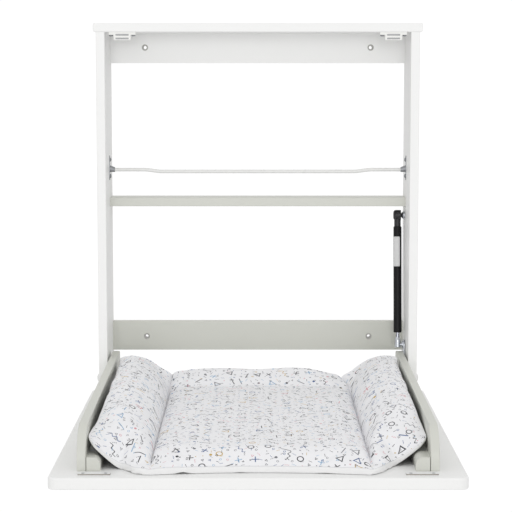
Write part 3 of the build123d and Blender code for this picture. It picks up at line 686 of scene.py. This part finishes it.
def folded(u, v):
    """Where a point of the flat cut lies once wings and rear are folded up, before the folds are sewn in."""
    share = wing_share(u, v)
    fold = fold_at(u, v)
    bolster = wing_height + wing_gain * smooth_step(along(v) / wing_gain_share)
    bolster = bolster * (1 - (1 - share) ** wing_curve)
    wing = bolster + (front_rise(u) - bolster) * near_front(u, v, tip_reach)
    rise = np.sqrt(wing ** 2 + rear_height(u, v) ** 2)
    gap = of_wing(u, "board_gap") - rear_closing * smooth_step((along(v) - closing_from) / closing_run)
    outer = wing_reach - gap * smooth_step((from_front(u, v) - flat_front) / board_gap_run)
    for size, run, shift in edge_waves:
        outer = outer + size * np.sin(v / run + shift)
    x = np.sign(u) * (np.minimum(np.abs(u), fold) + (outer - fold) * share)
    bow = front_bow * np.minimum(np.abs(u) / fold, 1) ** 2 * (1 - share) * near_front(u, v, front_bow_run)
    y = np.minimum(v, fold_v) + rear_run * up_rear(v) - bow
    z = rest_height(u, v) + pad_thickness(u, v) + rise
    return np.stack([x, y, z], -1)


def cover_top(u, v):
    """The top of the cover: the folded cut with its sewn folds drawn down and a little unevenness."""
    place = folded(u, v)
    at_front = near_front(u, v, crease_front_run)
    beside = np.abs(u) - fold_at(u, v)
    closeness = np.clip(1 - np.abs(beside) / crease_half, 0, 1)
    draw = (crease_depth - crease_front_loss * at_front) * closeness ** crease_curve
    draw = draw * (1 - crease_rear_loss * up_rear(v))
    rear_crease = rear_crease_depth * np.exp(-((v - fold_v - rear_crease_at) / rear_crease_half) ** 2)
    rear_crease = rear_crease * (1 - smooth_step((beside + rear_crease_end) / rear_crease_fade))
    wave = 0.9 * np.sin(u / 31 + 1.3) * np.sin(v / 47 + 0.4) + 0.6 * np.sin(u / 17 - v / 29)
    gathered = np.clip(closeness * gather, 0, gather_most)
    place[..., 0] -= np.sign(u) * beside * gathered * (1 - gather_front_loss * at_front)
    place[..., 2] += wave * (1 - at_front) - draw - rear_crease
    return place


def lay_pad(flat):
    """Lays the flat pad, whose heights run from 0 under it to 1 on top, in its folded shape in metres."""
    u, v, height = flat[:, 0], flat[:, 1], flat[:, 2:3]
    step = 7
    across = folded(u + step, v) - folded(u - step, v)
    lengthways = folded(u, v + step) - folded(u, v - step)
    inward = np.cross(across, lengthways)
    inward /= np.linalg.norm(inward, axis=1)[:, None]
    share = wing_share(u, v)
    at_front = near_front(u, v, front_bow_run)
    upright = np.maximum(smooth_step((share - upright_from) / upright_run), at_front)[:, None]
    inward = inward * (1 - upright) + np.array([0, 0, 1]) * upright
    under = folded(u, v) - inward * pad_thickness(u, v)[:, None]
    low = rest_height(u, v)
    raised = smooth_step((share - raised_from) / raised_run)
    raised = np.maximum(raised, smooth_step(up_rear(v) / rear_raised_run))
    raised = np.maximum(raised, at_front)
    under[:, 2] = low + (under[:, 2] - low) * raised
    drop = side_drop * smooth_step((share - side_from) / (1 - side_from))
    under[:, 2] -= drop * smooth_step((along(v) - side_drop_from) / side_drop_run)
    lift = sum(rise * np.exp(-((u - middle) / half) ** 2) for middle, half, rise in front_puckers)
    under[:, 2] += lift * np.exp(-((v - front_v) / pucker_run) ** 2)
    place = under + (cover_top(u, v) - under) * height
    place[:, 2] = np.maximum(place[:, 2], low)
    return place * MM + np.array([0, 0, panel_top])


def corner_array(mesh):
    """The places of a mesh's vertices, one row each."""
    places = np.empty(len(mesh.vertices) * 3)
    mesh.vertices.foreach_get("co", places)
    return places.reshape(-1, 3)


blank_height = 18
voxel_mm = 5.2
front_u = np.linspace(-cut_front, cut_front, 161)
into_corner = np.maximum(np.abs(front_u) - cut_front + corner_r, 0)
front_edge = front_v + front_slant(front_u) + corner_r - np.sqrt(corner_r ** 2 - into_corner ** 2)
shape = bmesh.new()
outline = [shape.verts.new((u * MM, v * MM, 0)) for u, v in zip(front_u, front_edge)]
rear_corners = [shape.verts.new((u * MM, rear_v * MM, 0)) for u in (cut_rear, -cut_rear)]
shape.faces.new(outline + rear_corners)
bmesh.ops.bevel(shape, geom=rear_corners, offset=rear_corner_r * MM, segments=8, profile=0.5,
                affect="VERTICES")
raised = bmesh.ops.extrude_face_region(shape, geom=shape.faces[:])
bmesh.ops.translate(shape, vec=(0, 0, blank_height * MM),
                    verts=[item for item in raised["geom"] if isinstance(item, bmesh.types.BMVert)])
bmesh.ops.recalc_face_normals(shape, faces=shape.faces)
mat = show("padded_mat", plain_mesh("padded_mat", shape))
grid = mat.modifiers.new("grid", "REMESH")
grid.mode = "VOXEL"
grid.voxel_size = voxel_mm * MM
mat.data = finished_mesh(mat, "padded_mat")
mat.modifiers.clear()

flat = corner_array(mat.data) / MM
flat[:, 2] = np.clip(flat[:, 2] / blank_height, 0, 1)
u, v, height = flat.T
laid = lay_pad(flat)
mat.data.vertices.foreach_set("co", laid.ravel())
mat.data.update()

# The stuffing swells the cover between its seams; the underside, the band and the sewn folds are held.
held_height, fold_margin = 0.8, 2
swell_pressure, swell_steps, swell_most = 4, 20, 8 * MM
on_fold = np.abs(np.abs(u) - fold_at(u, v)) < crease_half - fold_margin
held = (height < held_height) | on_fold
sewn = mat.vertex_groups.new(name="sewn")
sewn.add([int(index) for index in np.flatnonzero(held)], 1.0, "REPLACE")
stuffing = mat.modifiers.new("stuffing", "CLOTH")
stuffing.settings.quality = 6
stuffing.settings.mass = 0.15
stuffing.settings.tension_stiffness = 12
stuffing.settings.compression_stiffness = 12
stuffing.settings.shear_stiffness = 4
stuffing.settings.bending_stiffness = 0.15
stuffing.settings.use_pressure = True
stuffing.settings.uniform_pressure_force = swell_pressure
stuffing.settings.shrink_min = -0.015
stuffing.settings.vertex_group_mass = "sewn"
stuffing.settings.effector_weights.gravity = 0
stuffing.collision_settings.use_collision = False
stuffing.point_cache.frame_start = 1
stuffing.point_cache.frame_end = swell_steps
for step in range(1, swell_steps + 1):
    bpy.context.scene.frame_set(step)
swollen_mesh = finished_mesh(mat, "swollen")
moved = corner_array(swollen_mesh) - laid
far = np.linalg.norm(moved, axis=1)
moved *= (swell_most / np.maximum(far, swell_most))[:, None]
mat.modifiers.clear()
mat.vertex_groups.clear()
mat.data.vertices.foreach_set("co", (laid + moved).ravel())
mat.data.update()
bpy.data.meshes.remove(swollen_mesh)
bpy.context.scene.frame_set(1)

# The cover remembers its flat cut for the print, and its height for band, the grey line of painted shade along the
# seam, and the near-black underside.
# The underside and the wings' sides, which face the boards, are coloured near black: a dark cloth that also stands
# in as painted shade in the cavities under the wings and the gaps by the boards.
seam_allowance = 6
painted_shade_side_from = 50
underside_to, side_to, painted_shade_cloth = 0.01, 0.9, -0.1
pattern = mat.data.uv_layers.new(name="cover_pattern")
corner_points = np.empty(len(mat.data.loops), dtype=np.int32)
mat.data.loops.foreach_get("vertex_index", corner_points)
pattern.data.foreach_set("uv", (flat[corner_points, :2] * MM).ravel())
# Painted shade: the underside and the wings' sides get a near-black mark, standing in for the shade of the
# cavities and gaps as well as for a dark cloth.
underside = (height < underside_to) & (inside_edge(u, v) > seam_allowance)
on_side = (cut_half(v) - np.abs(u) < seam_allowance) & (height < side_to)
cover_height = np.where(underside | on_side & (from_front(u, v) > painted_shade_side_from), painted_shade_cloth, height)
mat.data.attributes.new("cover_height", "FLOAT", "POINT").data.foreach_set("value", cover_height)
mat.data.polygons.foreach_set("use_smooth", np.ones(len(mat.data.polygons), dtype=bool))
rounding = mat.modifiers.new("rounding", "SUBSURF")
rounding.levels = 1
rounding.render_levels = 1
mat.data = finished_mesh(mat, "padded_mat")
mat.modifiers.clear()

wave_length = 2 * math.pi / 20  # of the wave texture at scale 1


def printed_cotton():
    """Woven cotton: soft white with scattered small printed marks, a plain band, a grey line of painted shade
    along the seam, and a near-black underside and wing sides that are partly dark cloth and partly painted shade.
    """
    thread_mm = 1.6  # the real thread is about 0.4 mm, drawn coarser so that it shows
    thread_scale = wave_length / thread_mm
    ring_r, dash_half, arm_half, dot_r, triangle_r = 4.2, 6.5, 4.4, 1.4, 3.0
    ripple_half, ripple_rate, ripple_swing = 9.0, 0.75, 1.7
    side_across, side_up = 0.866, 0.5
    inks_by_share = ((0.0, "#2E2F36"), (0.38, "#77797F"), (0.62, "#4A6391"), (0.75, "#93B2CD"),
                     (0.87, "#D7A0A6"), (0.94, "#C4A560"))
    large_marks = (29, (13, 5, 0), 1.3, 0.7)
    small_marks = (12.5, (4, 9, 0), 0.45, 0.95)
    soft_edge = 0.12
    full_turn = 6.3
    seam_height, seam_blend = 0.86, 0.04
    seam_shade_from, seam_shade_to, seam_shade_strength = 0.02, 0.06, 0.4
    painted_shade_to, painted_shade_from = -0.08, -0.03
    material, tree = new_material("printed_cotton_cover")
    uv = add_node(tree, "ShaderNodeUVMap", uv_map="cover_pattern")
    place = add_node(tree, "ShaderNodeVectorMath", uv, operation="SCALE", sockets={"Scale": 1000.0})
    colour = linear_colour("#F1F1F3")
    for cell_mm, shift, size, line in (large_marks, small_marks):
        moved = add_node(tree, "ShaderNodeVectorMath", place, shift, operation="ADD")
        cell = add_node(tree, "ShaderNodeTexVoronoi", moved, voronoi_dimensions="2D", feature="F1",
                        sockets={"Scale": 1 / cell_mm, "Randomness": 0.7})
        local = add_node(tree, "ShaderNodeVectorMath", moved, cell.outputs["Position"], operation="SUBTRACT")
        chance = add_node(tree, "ShaderNodeSeparateColor", cell.outputs["Color"]).outputs
        turn = add_node(tree, "ShaderNodeMath", chance[1], full_turn, operation="MULTIPLY")
        turned = add_node(tree, "ShaderNodeVectorRotate", local, rotation_type="Z_AXIS",
                          sockets={"Angle": turn})
        scaled = add_node(tree, "ShaderNodeVectorMath", turned, operation="SCALE",
                          sockets={"Scale": 1 / size})
        spot = add_node(tree, "ShaderNodeSeparateXYZ", scaled).outputs
        reach = add_node(tree, "ShaderNodeVectorMath", scaled, operation="LENGTH").outputs["Value"]
        wide = add_node(tree, "ShaderNodeMath", spot[0], operation="ABSOLUTE")
        high = add_node(tree, "ShaderNodeMath", spot[1], operation="ABSOLUTE")
        # Ring
        ring = add_node(tree, "ShaderNodeMath", reach, ring_r, operation="SUBTRACT")
        ring = add_node(tree, "ShaderNodeMath", ring, operation="ABSOLUTE")
        # Dash
        dash_end = add_node(tree, "ShaderNodeMath", wide, dash_half, operation="SUBTRACT")
        dash = add_node(tree, "ShaderNodeMath", high, dash_end, operation="MAXIMUM")
        # Plus sign
        arm = add_node(tree, "ShaderNodeMath", high, arm_half, operation="SUBTRACT")
        upright = add_node(tree, "ShaderNodeMath", wide, arm, operation="MAXIMUM")
        arm = add_node(tree, "ShaderNodeMath", wide, arm_half, operation="SUBTRACT")
        level = add_node(tree, "ShaderNodeMath", high, arm, operation="MAXIMUM")
        plus = add_node(tree, "ShaderNodeMath", upright, level, operation="MINIMUM")
        # Ripple
        phase = add_node(tree, "ShaderNodeMath", spot[0], ripple_rate, operation="MULTIPLY")
        swing = add_node(tree, "ShaderNodeMath", phase, operation="SINE")
        off = add_node(tree, "ShaderNodeMath", swing, -ripple_swing, spot[1], operation="MULTIPLY_ADD")
        off = add_node(tree, "ShaderNodeMath", off, operation="ABSOLUTE")
        ripple_end = add_node(tree, "ShaderNodeMath", wide, ripple_half, operation="SUBTRACT")
        ripple = add_node(tree, "ShaderNodeMath", off, ripple_end, operation="MAXIMUM")
        # Triangle
        slope = add_node(tree, "ShaderNodeMath", wide, side_across, operation="MULTIPLY")
        slope = add_node(tree, "ShaderNodeMath", spot[1], side_up, slope, operation="MULTIPLY_ADD")
        base = add_node(tree, "ShaderNodeMath", spot[1], -1.0, operation="MULTIPLY")
        triangle = add_node(tree, "ShaderNodeMath", slope, base, operation="MAXIMUM")
        triangle = add_node(tree, "ShaderNodeMath", triangle, triangle_r, operation="SUBTRACT")
        triangle = add_node(tree, "ShaderNodeMath", triangle, operation="ABSOLUTE")
        # Dot
        dot = add_node(tree, "ShaderNodeMath", reach, dot_r, operation="SUBTRACT")
        figures = (ring, dash, plus, ripple, triangle, dot, dash)
        choice = add_node(tree, "ShaderNodeMath", chance[0], float(len(figures)), operation="MULTIPLY")
        choice = add_node(tree, "ShaderNodeMath", choice, operation="FLOOR")
        field = None
        for number, figure in enumerate(figures):
            chosen = add_node(tree, "ShaderNodeMath", choice, float(number), 0.5, operation="COMPARE")
            field = add_node(tree, "ShaderNodeMath", chosen, figure, field or 0.0, operation="MULTIPLY_ADD")
        ink = add_node(tree, "ShaderNodeMapRange", field, line - soft_edge, line + soft_edge, 1.0, 0.0)
        inks = add_node(tree, "ShaderNodeValToRGB", chance[2])
        inks.color_ramp.interpolation = "CONSTANT"
        for index, (start, hex_text) in enumerate(inks_by_share):
            stop = inks.color_ramp.elements[index] if index < 2 else inks.color_ramp.elements.new(start)
            stop.position = start
            stop.color = linear_colour(hex_text)
        colour = add_node(tree, "ShaderNodeMix", ink, data_type="RGBA",
                          sockets={6: colour, 7: inks.outputs[0]}).outputs[2]
    height = add_node(tree, "ShaderNodeAttribute", attribute_name="cover_height").outputs["Fac"]
    on_top = add_node(tree, "ShaderNodeMapRange", height, seam_height, seam_height + seam_blend, 0.0, 1.0)
    band = add_node(tree, "ShaderNodeMix", on_top, data_type="RGBA",
                    sockets={6: linear_colour("#EDEDED"), 7: colour})
    # Painted shade: a grey line along the seam between top and band stands in for the shade in its fold.
    beside_seam = add_node(tree, "ShaderNodeMath", height, seam_height, operation="SUBTRACT")
    beside_seam = add_node(tree, "ShaderNodeMath", beside_seam, operation="ABSOLUTE")
    seam_shade = add_node(tree, "ShaderNodeMapRange", beside_seam, seam_shade_from, seam_shade_to, seam_shade_strength, 0.0)
    cover = add_node(tree, "ShaderNodeMix", seam_shade, data_type="RGBA",
                     sockets={6: band.outputs[2], 7: linear_colour("#B9BABF")})
    # Painted shade: near black on the underside and the wings' sides, beyond the seam allowance and the front.
    painted_shade_below = add_node(tree, "ShaderNodeMapRange", height, painted_shade_to, painted_shade_from, 1.0, 0.0)
    cover = add_node(tree, "ShaderNodeMix", painted_shade_below, data_type="RGBA",
                     sockets={6: cover.outputs[2], 7: linear_colour("#161412")})
    warp = add_node(tree, "ShaderNodeTexWave", place, bands_direction="X", sockets={"Scale": thread_scale})
    weft = add_node(tree, "ShaderNodeTexWave", place, bands_direction="Y", sockets={"Scale": thread_scale})
    weave = add_node(tree, "ShaderNodeMath", warp.outputs["Fac"], weft.outputs["Fac"], operation="MULTIPLY")
    bump = add_node(tree, "ShaderNodeBump",
                    sockets={"Strength": 0.25, "Distance": 0.15 * MM, "Height": weave})
    rough = add_node(tree, "ShaderNodeMapRange", weave, 0.0, 1.0, 0.82, 0.92)
    shader = add_node(tree, "ShaderNodeBsdfPrincipled", sockets={
        "Base Color": cover.outputs[2], "Roughness": rough, "Normal": bump, "Sheen Weight": 0.15,
        "Sheen Roughness": 0.5, "Specular IOR Level": 0.25})
    add_node(tree, "ShaderNodeOutputMaterial", shader)
    return material


mat.data.materials.append(printed_cotton())
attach(mat, "flap")
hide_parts("changing_mat")


# Grip tapes under the mat: strips of dark ribbed rubber.
# They are stuck to the panel and keep the mat from sliding on it.
def ribbed_rubber():
    """Rubber strip: near black, matt, with fine ribs across it, drawn darker in the grooves between them as
    painted shade.
    """
    rib_mm = 2
    material, tree = new_material("ribbed_rubber")
    place = add_node(tree, "ShaderNodeTexCoord").outputs["Object"]
    ribs = add_node(tree, "ShaderNodeTexWave", place, bands_direction="Y",
                    sockets={"Scale": wave_length * 1000 / rib_mm})
    # Painted shade: the colour follows the ribs, darker in the grooves and lighter on the crests.
    colour = add_node(tree, "ShaderNodeMix", ribs.outputs["Fac"], data_type="RGBA",
                      sockets={6: linear_colour("#232325"), 7: linear_colour("#343437")})
    bump = add_node(tree, "ShaderNodeBump", sockets={"Strength": 0.4, "Distance": 0.3 * MM,
                                                     "Height": ribs.outputs["Fac"]})
    rough = add_node(tree, "ShaderNodeMapRange", ribs.outputs["Fac"], 0.0, 1.0, 0.75, 0.85)
    shader = add_node(tree, "ShaderNodeBsdfPrincipled", sockets={
        "Base Color": colour.outputs[2], "Roughness": rough, "Normal": bump})
    add_node(tree, "ShaderNodeOutputMaterial", shader)
    return material


dress(ribbed_rubber(), "mat_grip_tapes")


# Studio: a plain pale floor below the table, fading out at its rim, soft light all round and a soft
# broad light from the front, and the camera where the photographer stood.
floor_z = -1.35
floor_r = 2.3
floor_fade_from, floor_fade_to = 1.3, 2.25
shape = bmesh.new()
bmesh.ops.create_circle(shape, cap_ends=True, segments=96, radius=floor_r)
bmesh.ops.translate(shape, vec=(0, 0, floor_z), verts=shape.verts)
floor = show("studio_floor", plain_mesh("studio_floor", shape))
floor_paint, floor_tree = new_material("matt_floor_paint")
floor_place = add_node(floor_tree, "ShaderNodeTexCoord").outputs["Object"]
floor_cloud = add_node(floor_tree, "ShaderNodeTexNoise", floor_place, sockets={"Scale": 0.8})
floor_tone = add_node(floor_tree, "ShaderNodeMix", floor_cloud.outputs[0], data_type="RGBA",
                      sockets={6: linear_colour("#F6F6F6"), 7: linear_colour("#F9F9F9")})
floor_flat = add_node(floor_tree, "ShaderNodeVectorMath", floor_place, (1, 1, 0), operation="MULTIPLY")
floor_out = add_node(floor_tree, "ShaderNodeVectorMath", floor_flat, operation="LENGTH").outputs["Value"]
floor_fade = add_node(floor_tree, "ShaderNodeMapRange", floor_out, floor_fade_from, floor_fade_to,
                      1.0, 0.0, interpolation_type="SMOOTHSTEP")
floor_shader = add_node(floor_tree, "ShaderNodeBsdfPrincipled", sockets={
    "Base Color": floor_tone.outputs[2], "Roughness": 0.9, "Specular IOR Level": 0.1, "Alpha": floor_fade})
add_node(floor_tree, "ShaderNodeOutputMaterial", floor_shader)
floor.data.materials.append(floor_paint)

# The light comes from all round, weaker from the sides, so faces that look sideways are a shade darker.
studio = bpy.data.worlds.new("studio")
studio.use_nodes = True
sky_tree = studio.node_tree
sky_tree.nodes.clear()
sky_full, sky_side_loss, sky_top_gain, sky_seen = 0.825, 0.1, 0.17, 1.05
sky_way = add_node(sky_tree, "ShaderNodeTexCoord").outputs["Generated"]
sideways, _, upwards = add_node(sky_tree, "ShaderNodeSeparateXYZ", sky_way).outputs
sideways = add_node(sky_tree, "ShaderNodeMath", sideways, 2.0, operation="POWER")
upwards = add_node(sky_tree, "ShaderNodeMath", upwards, sky_top_gain, 1.0, operation="MULTIPLY_ADD")
sky_light = add_node(sky_tree, "ShaderNodeMapRange", sideways, 0.0, 1.0, sky_full,
                     sky_full * (1 - sky_side_loss))
sky_light = add_node(sky_tree, "ShaderNodeMath", sky_light, upwards, operation="MULTIPLY")
seen_directly = add_node(sky_tree, "ShaderNodeLightPath").outputs["Is Camera Ray"]
strength = add_node(sky_tree, "ShaderNodeMix", seen_directly, sockets={2: sky_light, 3: sky_seen})
sky = add_node(sky_tree, "ShaderNodeBackground", (1, 1, 1, 1), strength)
add_node(sky_tree, "ShaderNodeOutputWorld", sky)
bpy.context.scene.world = studio

front_light_height = math.radians(3)
front_light = bpy.data.lights.new("front_soft_light", "SUN")
front_light.energy = 0.54
front_light.angle = math.radians(20)
front_lamp = bpy.data.objects.new("front_soft_light", front_light)
front_lamp.rotation_euler = (math.radians(90) - front_light_height, 0, 0)
bpy.context.scene.collection.objects.link(front_lamp)

camera_tilt = math.radians(6.131)
camera_data = bpy.data.cameras.new("photo_camera")
camera_data.sensor_width = 36
camera_data.lens = 118.77
camera = bpy.data.objects.new("photo_camera", camera_data)
camera.location = (-0.0039, -3.7739, 0.2627)
camera.rotation_euler = (math.radians(90) - camera_tilt, 0, 0)
bpy.context.scene.collection.objects.link(camera)
bpy.context.scene.camera = camera
bpy.context.scene.view_settings.view_transform = "Standard"
